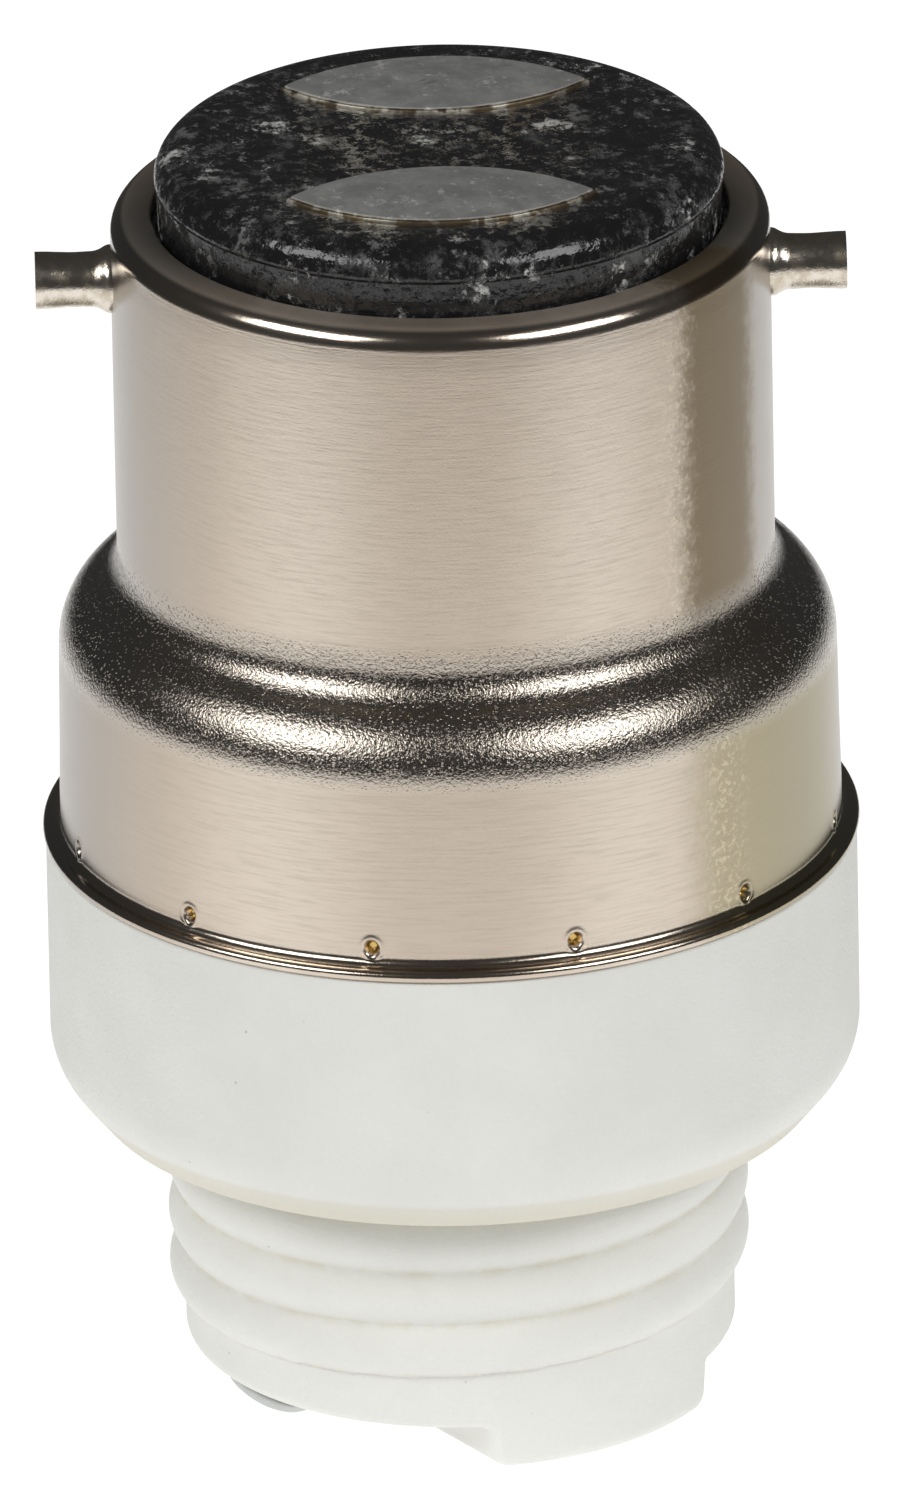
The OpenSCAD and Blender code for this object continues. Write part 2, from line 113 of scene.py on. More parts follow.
def skin(name, rings, first=None, last=None, smooth_under=35, **amounts):
    """A closed mesh through rings of points, an array of rings by points by xyz.

    Each ring is joined to its own start and to the next ring. The first and last points
    close the ends, and without them the last ring is joined to the first. The faces are
    turned outwards by the sign of the volume. Each amount is a value for every point.
    """
    count, around = rings.shape[:2]
    open_ends = first is not None
    i = np.arange(count - 1 if open_ends else count)[:, None]
    j = np.arange(around)[None]
    after, beside = (i + 1) % count, (j + 1) % around
    faces = np.stack(
        [i * around + j, i * around + beside, after * around + beside, after * around + j], -1
    ).reshape(-1, 4)
    points = rings.reshape(-1, 3)
    corners = points[faces]
    volume = np.einsum(
        "ij,ij->", corners[:, 0], np.cross(corners[:, 1], corners[:, 2])
    ) + np.einsum("ij,ij->", corners[:, 0], np.cross(corners[:, 2], corners[:, 3]))
    faces = faces.tolist()
    if open_ends:
        top = (count - 1) * around
        ends = np.stack([np.arange(around), (np.arange(around) + 1) % around], -1)
        faces += [[b, a, len(points)] for a, b in ends.tolist()]
        faces += [[top + a, top + b, len(points) + 1] for a, b in ends.tolist()]
        points = np.concatenate([points, [first, last]])
    if volume < 0:
        faces = [face[::-1] for face in faces]
    mesh = bpy.data.meshes.new(name)
    mesh.from_pydata((points * MM).tolist(), [], faces)
    for amount, values in amounts.items():
        values = np.broadcast_to(values, (count, around)).ravel()
        values = np.concatenate([values, np.zeros(len(points) - len(values))])
        mesh.attributes.new(amount, "FLOAT", "POINT").data.foreach_set("value", values)
    mesh.shade_smooth()
    mesh.set_sharp_from_angle(angle=math.radians(smooth_under))
    piece = bpy.data.objects.new(name, mesh)
    bpy.context.scene.collection.objects.link(piece)
    return piece


def around_axis(profile, angles):
    """Rings of a turned shape: each point (radius, height) of the profile goes round Z."""
    r, z = profile[:, :1], profile[:, 1:]
    return np.stack([r * np.cos(angles), r * np.sin(angles), z + 0 * angles], -1)


def slot_reach(angle, grow=0.0):
    """How far a ray from the middle runs in the slot: to its side or end, or to the circle
    that rounds the corner between them. The slot is larger by grow on every side."""
    c, s = np.abs(np.cos(angle)), np.abs(np.sin(angle))
    half_l, half_w, r = slot_l / 2 + grow, slot_w / 2 + grow, slot_corner + grow
    flat = np.minimum(half_l / np.maximum(c, 1e-9), half_w / np.maximum(s, 1e-9))
    corner_x, corner_y = half_l - r, half_w - r
    along = c * corner_x + s * corner_y
    chord = np.sqrt(np.maximum(along**2 - corner_x**2 - corner_y**2 + r**2, 0))
    in_corner = (flat * c > corner_x) & (flat * s > corner_y)
    return np.where(in_corner, along + chord, flat)


edge_turn = np.linspace(0, math.radians(86), 7)
step_y = np.concatenate([
    bar_half - bar_edge * (1 - np.sin(edge_turn)),
    bar_half + bar_lean + bar_edge * (1 - np.cos(np.pi / 2 - edge_turn[::-1])),
])
step_z = np.concatenate([
    bar_edge * (1 - np.cos(edge_turn)),
    bar_h - bar_edge * (1 - np.sin(np.pi / 2 - edge_turn[::-1])),
])


def end_height(across):
    """Height of the end face at a distance across the bar: none on the bar, then its rounded
    edge, its wall and the fillet that runs out into the recess beside it."""
    return np.interp(across, step_y, step_z)


def thread_radius(angle, z):
    """Radius of the threaded end, and how near each point is to the bottom of a groove.

    The height is counted in pitches from the lowest groove, less the turn from the front.
    Between whole numbers lies a lobe, a shallow arc over the root, and the first and last
    lobes sink into the end where they begin and stop at the back.
    """
    turn = ((angle - FRONT + np.pi) % (2 * np.pi) - np.pi) / (2 * np.pi)
    lift = (z - thread_z) / pitch - turn
    lobe = np.floor(lift)
    crest_r = (pitch**2 / 4 + thread_depth**2) / (2 * thread_depth)
    across = (lift - lobe - 0.5) * pitch
    crest = np.sqrt(crest_r**2 - across**2) - (crest_r - thread_depth)
    rise = np.clip((turn + 0.5) / run_out, 0, 1)
    fall = np.clip((0.5 - turn) / run_out, 0, 1)
    share = np.where(lobe == 0, rise, np.where(lobe == turns - 1, fall, 1.0))
    share = share * share * (3 - 2 * share) * ((lobe >= 0) & (lobe < turns))
    base = np.where(lobe < 0, end_r, np.where(lobe == 0, end_r + (root_r - end_r) * share, root_r))
    groove = np.exp(-((across**2 - pitch**2 / 4) / (0.28 * pitch)) ** 2 * 6) * share
    return base + np.sqrt((crest * share) ** 2 + groove_soft**2) - groove_soft, groove


crossings = [
    side * math.asin(bar_half / end_r) + half_turn for side in (-1, 1) for half_turn in (0, math.pi)
]
angles = spread(400, crossings, 0.09, 1.6)
sine = np.maximum(np.abs(np.sin(angles)), 1e-6)
flat = np.zeros_like(angles)
floor_share = (0.4, 0.75, 1.0)
rings = [(share * slot_reach(angles), flat + slot_top) for share in floor_share]
rings += [(slot_reach(angles), flat + z) for z in (9.0, 4.0, slot_lip)]
lip_turn = np.linspace(0, np.pi / 2, 5)[1:]
rings += [
    (slot_reach(angles, slot_lip * (1 - math.cos(a))), flat + slot_lip * (1 - math.sin(a)))
    for a in lip_turn
]
mouth = slot_reach(angles, slot_lip)
rim_start = end_r - end_edge
targets = np.concatenate([[3.1, 3.2], step_y, [4.8, 5.6, 6.6, 7.6, rim_start]])
least = 0.01
for k, target in enumerate(targets):
    r = np.clip(
        target / sine, mouth + (k + 1) * least, rim_start - (len(targets) - 1 - k) * least
    )
    rings.append((r, end_height(r * sine)))
for a in np.linspace(0, np.pi / 2, 9)[1:]:
    r = rim_start + end_edge * math.sin(a)
    rings.append((flat + r, end_height(r * sine) + end_edge * (1 - math.cos(a))))
wall_low = rings[-1][1]
rings += [(flat + end_r, wall_low + (thread_low - wall_low) * share) for share in (0.2, 0.45, 0.7)]
plain_rows = len(rings)
thread_rows = np.arange(thread_low, thread_high, 0.07)
thread_parts = [thread_radius(angles, z) for z in thread_rows]
rings += [(r, flat + z) for (r, _), z in zip(thread_parts, thread_rows)]
round_c = np.array([body_r - body_round, underside_z + chamfer_h + body_round * math.sin(round_turn)])
underside_r = round_c[0] + body_round * math.cos(round_turn) - chamfer_h * math.tan(round_turn)
side_arc = arc(round_c, body_round, -round_turn, 0, 12)
upper = rounded(
    [(root_r, thread_high), (root_r, underside_z), (underside_r, underside_z), *side_arc,
     (body_r, 15.0), (body_r, lip_z), (tongue_r, lip_z), (tongue_r, tongue_top), (3.0, tongue_top)],
    [0.2, 0.14] + [0] * len(side_arc) + [0, 0.12, 0, 0.2],
)
rings += [(flat + r, flat + z) for r, z in upper]
radius = np.stack([r for r, _ in rings])
height = np.stack([z for _, z in rings])
grid = np.stack([radius * np.cos(angles), radius * np.sin(angles), height], -1)
groove = np.zeros_like(radius)
groove[plain_rows : plain_rows + len(thread_rows)] = [g for _, g in thread_parts]
# Painted shade at the corner under the body, kept as the edge amount that darkens the colour there.
underside_edge_shade = np.zeros_like(radius)
underside_edge_shade[len(rings) - len(upper) :] = np.exp(
    -(((upper[:, :1] - underside_r) / 0.25) ** 2 + ((upper[:, 1:] - underside_z) / 0.25) ** 2)
)
socket_body = skin(
    "white_socket_body", grid, (0, 0, slot_top), (0, 0, tongue_top), groove=groove, edge=underside_edge_shade
)


def cut_boxes(piece, boxes):
    """Takes boxes, each a lowest and a highest corner, out of a piece."""
    unit = np.array([[x, y, z] for x in (0, 1) for y in (0, 1) for z in (0, 1)])
    sides = [(0, 1, 3, 2), (4, 6, 7, 5), (0, 4, 5, 1), (2, 3, 7, 6), (0, 2, 6, 4), (1, 5, 7, 3)]
    points = np.concatenate([np.array(low) + unit * (np.array(high) - low) for low, high in boxes])
    faces = [[8 * n + corner for corner in side] for n in range(len(boxes)) for side in sides]
    mesh = bpy.data.meshes.new("cutter")
    mesh.from_pydata((points * MM).tolist(), [], faces)
    cutter = bpy.data.objects.new("cutter", mesh)
    bpy.context.scene.collection.objects.link(cutter)
    cut_away(piece, cutter)


def cut_away(piece, cutter, smooth_under=35):
    """Takes the closed mesh of cutter out of piece, and cutter out of the scene."""
    modifier = piece.modifiers.new("cut", "BOOLEAN")
    modifier.operation = "DIFFERENCE"
    modifier.solver = "EXACT"
    modifier.object = cutter
    bpy.context.view_layer.update()
    finished = piece.evaluated_get(bpy.context.evaluated_depsgraph_get())
    mesh = bpy.data.meshes.new_from_object(finished)
    piece.modifiers.clear()
    piece.data = mesh
    bpy.data.objects.remove(cutter)
    mesh.set_sharp_from_angle(angle=math.radians(smooth_under))


lamp_pin_x = 4.5
hole_l, hole_w = 3.2, 2.2
chamber_l, chamber_w, chamber_z = 5.4, 6.2, 16.0
notch_half, notch_h = 2.4, 1.6
cut_boxes(socket_body, [
    ((x - chamber_l / 2, -chamber_w / 2, chamber_z), (x + chamber_l / 2, chamber_w / 2, 25.5))
    for x in (-lamp_pin_x, lamp_pin_x)
])
cut_boxes(socket_body, [
    ((x - hole_l / 2, -hole_w / 2, slot_top - 1), (x + hole_l / 2, hole_w / 2, chamber_z + 1))
    for x in (-lamp_pin_x, lamp_pin_x)
])
cut_boxes(socket_body, [((-notch_half, -bar_half - 0.6, -1), (notch_half, bar_half + 0.6, notch_h))])


class Varying:
    """A number that varies over a surface: sums and products with it add Math nodes."""

    def __init__(self, finish, socket):
        self.finish = finish
        self.socket = socket

    def math(self, operation, *values):
        return self.finish.node("ShaderNodeMath", {"operation": operation}, dict(enumerate(values)))

    def __add__(self, other):
        return self.math("ADD", self, other)

    def __sub__(self, other):
        return self.math("SUBTRACT", self, other)

    def __rsub__(self, other):
        return self.math("SUBTRACT", other, self)

    def __mul__(self, other):
        return self.math("MULTIPLY", self, other)

    def __truediv__(self, other):
        return self.math("DIVIDE", self, other)

    def __pow__(self, other):
        return self.math("POWER", self, other)

    __radd__ = __add__
    __rmul__ = __mul__

    def most(self, other):
        return self.math("MAXIMUM", self, other)

    def size(self):
        return self.math("ABSOLUTE", self)

    def between(self, low, high):
        """Goes smoothly from 0 at low to 1 at high."""
        return self.finish.node(
            "ShaderNodeMapRange",
            {"interpolation_type": "SMOOTHSTEP"},
            {"Value": self, "From Min": low, "From Max": high},
        )

    def bell(self, middle, width):
        """One at the middle, and nothing further away than width."""
        return 1 - (self - middle).size().between(0, width)


class Finish:
    """The material of one kind of piece, with the nodes that vary it."""

    def __init__(self, name, tree=None, **constants):
        if tree is None:
            self.material = bpy.data.materials.new(name)
            self.material.use_nodes = True
            tree = self.material.node_tree
            self.shader = tree.nodes["Principled BSDF"]
            for socket, value in constants.items():
                self.shader.inputs[socket.replace("_", " ")].default_value = value
        self.tree = tree

    def plug(self, socket, value):
        if isinstance(value, Varying):
            self.tree.links.new(value.socket, socket)
        else:
            socket.default_value = value

    def node(self, kind, settings, values, out=0):
        """Adds a node of a kind, sets its settings, then its sockets, and gives one output."""
        made = self.tree.nodes.new(kind)
        for setting, value in settings.items():
            setattr(made, setting, value)
        for socket, value in values.items():
            self.plug(made.inputs[socket], value)
        return Varying(self, made.outputs[out])

    def set(self, **values):
        for socket, value in values.items():
            self.plug(self.shader.inputs[socket.replace("_", " ")], value)

    def place(self, x=1.0, y=1.0, z=1.0):
        """The point on the piece, in millimetres, stretched along each axis."""
        point = self.node("ShaderNodeTexCoord", {}, {}, out="Object")
        return self.node(
            "ShaderNodeVectorMath",
            {"operation": "MULTIPLY"},
            {0: point, 1: (x / MM, y / MM, z / MM)},
        )

    def along(self, axis):
        point = self.place()
        return self.node("ShaderNodeSeparateXYZ", {}, {0: point}, out=axis)

    def direction(self):
        """The angle round Z, from the side that faces the photograph, in degrees."""
        turned = self.node(
            "ShaderNodeVectorRotate", {}, {"Vector": self.place(), "Axis": (0, 0, 1), "Angle": -FRONT}
        )
        x = self.node("ShaderNodeSeparateXYZ", {}, {0: turned}, out=0)
        y = self.node("ShaderNodeSeparateXYZ", {}, {0: turned}, out=1)
        return x.math("ARCTAN2", y, x) * math.degrees(1)

    def unrolled(self, turn_scale=1.0, z_scale=1.0):
        """The point on a surface round Z, unrolled: degrees round and height, each scaled."""
        return self.node(
            "ShaderNodeCombineXYZ",
            {},
            {0: self.direction() * turn_scale, 1: self.along(2) * z_scale},
        )

    def amount(self, name):
        return self.node("ShaderNodeAttribute", {"attribute_name": name}, {}, out="Fac")

    def noise(self, at, scale, detail=3.0, roughness=0.55):
        return self.node(
            "ShaderNodeTexNoise",
            {},
            {"Vector": at, "Scale": scale, "Detail": detail, "Roughness": roughness},
        )

    def spots(self, at, scale, randomness=1.0):
        """Distance to the nearest of many scattered points."""
        return self.node(
            "ShaderNodeTexVoronoi", {}, {"Vector": at, "Scale": scale, "Randomness": randomness}
        )

    def mix(self, share, one, other):
        """The colour one, going over to the other as share goes from 0 to 1."""
        return self.node("ShaderNodeMix", {"data_type": "RGBA"}, {0: share, 6: one, 7: other}, out=2)

    def bump(self, height, distance, strength=1.0, over=None):
        values = {"Height": height, "Distance": distance * MM, "Strength": strength}
        if over is not None:
            values["Normal"] = over
        return self.node("ShaderNodeBump", {}, values)


def wear(piece, finish, slot, *nodes):
    """Gives a new piece its material and hides the solids that it stands for. The slot is not used."""
    piece.data.materials.clear()
    piece.data.materials.append(finish.material)
    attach(piece, "root")
    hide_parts(*nodes)


ceramic = Finish("fired_steatite", Roughness=0.72, Subsurface_Weight=0.0)
speck_at = ceramic.spots(ceramic.place(), 0.75)
specks = 1 - speck_at.between(0.02, 0.055)
speck_share = specks * ceramic.noise(ceramic.place(), 0.35, 1.0).between(0.52, 0.6)
cloud = ceramic.noise(ceramic.place(), 0.3, 4.0).between(0.3, 0.7)
white = ceramic.mix(cloud, (0.765, 0.763, 0.722, 1), (0.795, 0.794, 0.757, 1))
# Painted shade: the grooves of the thread are darkened and yellowed in patches, as shade would fall in them.
groove_shade_patches = ceramic.noise(ceramic.place(), 0.9, 4.0).between(0.35, 0.65)
groove_shade = ceramic.amount("groove") * (0.25 + groove_shade_patches * 0.75)
yellow = ceramic.mix(groove_shade * 0.55, white, (0.64, 0.60, 0.46, 1))
# Painted shade: darker and yellower at the corner under the body.
yellow = ceramic.mix(ceramic.amount("edge") * 0.6, yellow, (0.70, 0.66, 0.52, 1))
level = ceramic.along(2)
# Painted shade: the chamfer that faces down and the neck under the body are darkened to a yellowish grey.
chamfer_shade = level.between(underside_z - 0.1, underside_z + 0.15) * (1 - level.between(11.2, 11.6)) * 0.38
shaded = level.between(8.7, 10.0) * (1 - level.between(underside_z - 0.1, underside_z + 0.1)) * 0.6
yellow = ceramic.mix(chamfer_shade.most(shaded), yellow, (0.62, 0.58, 0.45, 1))
ceramic.set(
    Base_Color=ceramic.mix(speck_share * 0.5, yellow, (0.30, 0.26, 0.20, 1)),
    Normal=ceramic.bump(ceramic.noise(ceramic.place(), 7.0, 3.0, 0.65), 0.04),
)
wear(socket_body, ceramic, "white_body", "socket_body")

# Lamp contacts, their rivets and the cover
# Two strips of phosphor bronze bent to a U, each held by a brass rivet under a disc of varnished
# board that closes the chambers in the body.


def finish_solids(finish, *nodes):
    """Puts a material on pieces that keep the mesh of their solids."""
    for node in nodes:
        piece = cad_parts[node]
        piece.data.materials.clear()
        piece.data.materials.append(finish.material)


bronze = Finish("sprung_bronze", Metallic=1.0)
tarnish = bronze.noise(bronze.place(), 1.4, 4.0).between(0.4, 0.7)
bronze.set(
    Base_Color=bronze.mix(tarnish, (0.68, 0.47, 0.24, 1), (0.36, 0.22, 0.11, 1)),
    Roughness=0.28 + tarnish * 0.2,
)
finish_solids(bronze, "lamp_contact_left", "lamp_contact_right")
rivet_brass = Finish("turned_brass", Metallic=1.0)
tool_marks = rivet_brass.noise(rivet_brass.place(1, 1, 6), 3.0, 3.0)
rivet_brass.set(
    Base_Color=rivet_brass.mix(tool_marks, (0.72, 0.54, 0.24, 1), (0.50, 0.36, 0.15, 1)),
    Roughness=0.2 + tool_marks * 0.25,
)
finish_solids(rivet_brass, "contact_rivet_left", "contact_rivet_right")
board = Finish("varnished_board", Roughness=0.5)
fibres = board.noise(board.place(1, 5, 5), 2.0, 4.0)
board.set(
    Base_Color=board.mix(fibres, (0.42, 0.30, 0.15, 1), (0.55, 0.42, 0.24, 1)),
    Normal=board.bump(fibres, 0.03),
)
finish_solids(board, "rear_cover")

# Leads
# Two stiff copper wires, each soldered to a rivet below and to a contact plate above, in sleeves
# of braided and varnished cotton.
copper = Finish("drawn_copper", Metallic=1.0, Roughness=0.3)
copper.set(Base_Color=copper.mix(copper.noise(copper.place(), 2.0), (0.80, 0.42, 0.25, 1), (0.55, 0.25, 0.14, 1)))
finish_solids(copper, "lead_wire_front", "lead_wire_rear")
braid = Finish("varnished_braid", Roughness=0.6)
strands = braid.node("ShaderNodeTexWave", {"bands_direction": "DIAGONAL"}, {"Vector": braid.place(), "Scale": 1.6})
braid.set(
    Base_Color=braid.mix(strands, (0.55, 0.50, 0.38, 1), (0.78, 0.74, 0.62, 1)),
    Normal=braid.bump(strands, 0.08),
)
finish_solids(braid, "lead_sleeve_front", "lead_sleeve_rear")

# Cap shell
# One cup of brass sheet, drawn in steps and nickel plated: shell, shoulder, skirt and a flared
# lip, with its rim rolled in over the glass. Twelve punched marks hold the skirt on the body.
sheet = 0.4
lip_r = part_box("cap_shell")[1][0] / MM
rim_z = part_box("cap_shell")[1][2] / MM
skirt_low_r, skirt_r, shell_r, rim_hole_r = 13.1, 13.02, 11.0, 9.6
skirt_top_z = 26.65
shoulder_in, shoulder_out = 1.37, 2.44
rim_round = 0.7
lip_bend = 0.3
shoulder_turn = math.acos(1 - (skirt_r - shell_r) / (shoulder_in + shoulder_out))
shoulder_z = skirt_top_z + (shoulder_in + shoulder_out) * math.sin(shoulder_turn)
cap_turn = math.radians(56)
mark_n, mark_turn, mark_z = 12, math.radians(17), lip_z + 1.0
mark_half_w, mark_half_h, mark_depth = 0.23, 0.26, 0.3
quarter = math.pi / 2
outside = np.concatenate([
    [(13.14, lip_z)],
    arc((lip_r - sheet / 2, lip_z + sheet / 2), sheet / 2, -quarter, quarter, 10),
    arc((skirt_low_r + lip_bend, lip_z + sheet + lip_bend), lip_bend, 3 * quarter, math.pi, 10),
    [(skirt_low_r, z) for z in np.arange(lip_z + 0.75, mark_z + 0.6, 0.05)],
    [(skirt_r + 0.04, 23.5), (skirt_r + 0.02, 25.2)],
    arc((skirt_r - shoulder_out, skirt_top_z), shoulder_out, 0, shoulder_turn, 16),
    arc((shell_r + shoulder_in, shoulder_z), shoulder_in, math.pi + shoulder_turn, math.pi, 14)[1:],
    [(shell_r, z) for z in np.linspace(31.0, 40.4, 9)],
    arc((shell_r - rim_round, rim_z - rim_round), rim_round, 0, quarter, 14),
    [(rim_hole_r + 0.1, rim_z), (rim_hole_r, rim_z - 0.1), (rim_hole_r, rim_z - sheet)],
])
inside = np.concatenate([
    arc((shell_r - rim_round, rim_z - rim_round), rim_round - sheet, quarter, 0, 6),
    arc((shell_r + shoulder_in, shoulder_z), shoulder_in + sheet, math.pi, math.pi + shoulder_turn, 8),
    arc((skirt_r - shoulder_out, skirt_top_z), shoulder_out - sheet, shoulder_turn, 0, 8)[1:],
    [(skirt_low_r - sheet, z) for z in np.arange(mark_z + 0.6, mark_z - 0.61, -0.15)],
])
marks = cap_turn + mark_turn + np.arange(mark_n) * 2 * math.pi / mark_n
columns = spread(520, marks, 0.045, 5.0)
profile = np.concatenate([outside, inside])
r, z = profile[:, :1], profile[:, 1:]
to_mark = (columns[:, None] - marks[None] + np.pi) % (2 * np.pi) - np.pi
to_mark = to_mark[np.arange(len(columns)), np.abs(to_mark).argmin(1)] * skirt_r
away = np.sqrt((to_mark / mark_half_w) ** 2 + ((z - mark_z) / mark_half_h) ** 2)
hollow = np.clip((1.15 - away) / 0.6, 0, 1)
hollow = hollow * hollow * (3 - 2 * hollow)
ridge = np.exp(-(((away - 1.45) / 0.3) ** 2))
near_skirt = (z < skirt_top_z) & (z > lip_z + sheet + 0.02) & (r < skirt_low_r + lip_bend)
radius = r + near_skirt * (0.03 * ridge - mark_depth * hollow)
grid = np.stack([radius * np.cos(columns), radius * np.sin(columns), z + 0 * columns], -1)
cap_shell = skin("nickel_cap_shell", grid, smooth_under=50, mark=hollow * near_skirt)

nickel = Finish("nickel_plate", Metallic=1.0)
height = nickel.along(2)
turn = nickel.direction()
fine = nickel.noise(nickel.place(), 14.0, 2.0)
mottle = nickel.noise(nickel.unrolled(0.10, 0.8), 1.0, 5.0, 0.65)
drawn = nickel.noise(nickel.unrolled(0.12, 9.0), 1.0, 4.0, 0.65)
shoulder = height.between(26.2, 27.0) * (1 - height.between(29.8, 31.0))
rim_top = height.between(rim_z - 0.15, rim_z - 0.03)
rolled = height.between(rim_z - 1.1, rim_z - 0.5).most(1 - height.between(lip_z + 0.5, lip_z + 0.9))
ragged = nickel.noise(nickel.place(), 1.6, 5.0, 0.7) * 8 - 4
# Painted reflection: a dark brownish upright band on the right side of the shoulder and shell, a paler brownish one
# on the skirt below, and bright speckles along its left edge.
dark_reflection_band = (turn + ragged).between(43, 50) * (1 - (turn + ragged).between(64, 72))
dark_reflection_band = dark_reflection_band * height.between(26.5, 29.0)
skirt_dark_reflection = (turn + ragged).between(34, 44) * (1 - (turn + ragged).between(70, 100))
skirt_dark_reflection = skirt_dark_reflection * (1 - height.between(26.5, 28.5))
band_edge_speckles = nickel.noise(nickel.place(), 5.0, 4.0, 0.7).between(0.5, 0.62) * (turn + ragged).bell(44, 7)
# Painted highlights: the plate is lighter in two upright bands left and right of the front, where the soft boxes
# shine, with some mottle.
painted_highlight = turn.bell(-27, 24).most(turn.bell(27, 22)) + mottle * 0.3 - 0.15
plate = nickel.mix(painted_highlight, (0.555, 0.47, 0.385, 1), (0.70, 0.615, 0.52, 1))
# Painted shade: the plate goes darker towards the left and right sides as seen from the front.
plate = nickel.mix(turn.size().bell(78, 42), plate, (0.35, 0.325, 0.295, 1))
plate = nickel.mix(drawn.between(0.42, 0.7) * 0.35, plate, (0.41, 0.35, 0.28, 1))
# Painted reflection of the dark band, its paler part on the skirt, and bright speckles at its edge.
plate = nickel.mix(dark_reflection_band * 0.85, plate, (0.20, 0.15, 0.085, 1))
plate = nickel.mix(skirt_dark_reflection * 0.6, plate, (0.33, 0.29, 0.16, 1))
plate = nickel.mix(band_edge_speckles * 0.5, plate, (0.74, 0.66, 0.48, 1))
# Painted shade: the shoulder is darkened, as it would reflect the dark room.
plate = nickel.mix(shoulder * 0.6, plate, (0.42, 0.39, 0.35, 1))
plate = nickel.mix(nickel.amount("mark").between(0.45, 0.8), plate, (0.70, 0.48, 0.16, 1))
grains = nickel.noise(nickel.place(), 9.0, 2.0, 0.65)
sparkles = 1 - nickel.spots(nickel.place(), 7.0).between(0.1, 0.3)
surface = nickel.bump(fine, 0.003)
surface = nickel.bump(drawn, 0.004, over=surface)
surface = nickel.bump(grains * shoulder, 0.028, over=surface)
surface = nickel.bump(sparkles * shoulder, 0.02, over=surface)
nickel.set(
    Base_Color=plate,
    Roughness=0.26 + mottle * 0.05 - shoulder * 0.11 - rolled * 0.12 + rim_top * 0.45 + dark_reflection_band * 0.08,
    Normal=surface,
)
wear(cap_shell, nickel, "cap_metal", "cap_shell")

# Bayonet pins
# Two turned brass pins, nickel plated, riveted through the shell. Each has a collar against the
# shell, a slight waist and a crisp rounded end.
pin_r, pin_tip, collar_r = 0.965, 13.52, 1.15
pin_z = rim_z - 2.3
pin_line = rounded(
    [(0.3, 10.3), (1.05, 10.3), (1.05, 10.8), (collar_r, 10.82), (collar_r, 11.12), (pin_r - 0.02, 11.45),
     (pin_r - 0.05, 12.3), (pin_r, 13.2), (pin_r, pin_tip), (0.25, pin_tip)],
    [0, 0, 0, 0.12, 0.2, 0.3, 0.3, 0, 0.22],
)
pin_metal = Finish("polished_nickel", Metallic=1.0)
dull = pin_metal.noise(pin_metal.place(), 2.2, 4.0).between(0.35, 0.7)
pin_metal.set(
    Base_Color=pin_metal.mix(dull, (0.72, 0.66, 0.58, 1), (0.55, 0.48, 0.38, 1)),
    Roughness=0.16 + dull * 0.14,
    Normal=pin_metal.bump(pin_metal.noise(pin_metal.place(), 14.0), 0.008),
)
for side, name in ((-1, "left"), (1, "right")):
    a = np.linspace(0, 2 * np.pi, 64, endpoint=False)
    across, out = pin_line[:, :1], pin_line[:, 1:]
    out_way = side * np.array([math.cos(cap_turn), math.sin(cap_turn), 0])
    side_way = np.array([-math.sin(cap_turn), math.cos(cap_turn), 0])
    middle = np.array([0, 0, pin_z])
    grid = (
        middle
        + (out + 0 * a)[..., None] * out_way
        + (across * np.cos(a))[..., None] * side_way
        + (across * np.sin(a))[..., None] * np.array([0, 0, 1])
    )
    pin = skin("pin_" + name, grid, middle + pin_line[0, 1] * out_way, middle + pin_tip * out_way)
    wear(pin, pin_metal, "pin_metal", "bayonet_pin_" + name)

# Insulator
# A disc of black glass, cast into the top of the shell round the leads and pressed smooth, with
# a parting line under its rounded edge. Handling has left chips, scratches and white dust on it.
glass_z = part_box("insulator")[1][2] / MM
glass_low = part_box("insulator")[0][2] / MM
glass_r, glass_edge, parting_z = 9.5, 1.1, glass_z - 1.15
glass_line = np.concatenate([
    [(0.5, glass_low), (10.5, glass_low)],
    arc((shell_r - rim_round, rim_z - rim_round), rim_round - sheet - 0.05, 0, quarter, 6),
    rounded(
        [(9.75, rim_z - sheet - 0.05), (9.42, rim_z - sheet - 0.05), (9.42, parting_z - 0.06),
         (glass_r - 0.03, parting_z)],
        [0.05, 0.03],
    )[1:],
    arc((glass_r - glass_edge, glass_z - glass_edge), glass_edge, 0, quarter, 18),
    [(7.0, glass_z), (3.5, glass_z)],
])
glass = skin(
    "black_glass_disc",
    around_axis(glass_line, spread(360)),
    (0, 0, glass_low),
    (0, 0, glass_z),
)

# Contact plates and their solder
# Two lens-shaped brass plates let into the glass, each over the end of a lead. Solder covers
# them: it has gone grey and is scuffed by the plungers of lamp holders.
arc_r, plate_w, plate_y = 6.75, 4.8, 4.85
plate_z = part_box("contact_plate_front")[1][2] / MM
plate_t, solder_t = 0.8, 0.25


def lens_reach(angle, grow=0.0):
    """How far a ray from the middle of a plate runs to its edge, the nearer of two arcs whose
    centres lie across the plate."""
    offset = arc_r - plate_w / 2
    s = np.abs(np.sin(angle)) * offset
    return np.sqrt(s**2 + (arc_r + grow) ** 2 - offset**2) - s


def lens_skin(name, side, levels, crown):
    """A lens-shaped piece over the point of its plate on the cap. Each level is how far it has
    grown from the plate's outline, what share of that outline it has, and its height."""
    a = spread(128)
    rings = np.stack([
        np.stack([
            share * lens_reach(a, grow) * np.cos(a),
            share * lens_reach(a, grow) * np.sin(a) + side * plate_y,
            z + 0 * a,
        ], -1)
        for grow, share, z in levels
    ])
    ends = np.array([(0, side * plate_y, levels[0][2]), (0, side * plate_y, crown)])
    turned = np.array(Matrix.Rotation(cap_turn, 3, "Z")).T
    return skin(name, rings @ turned, *(ends @ turned))


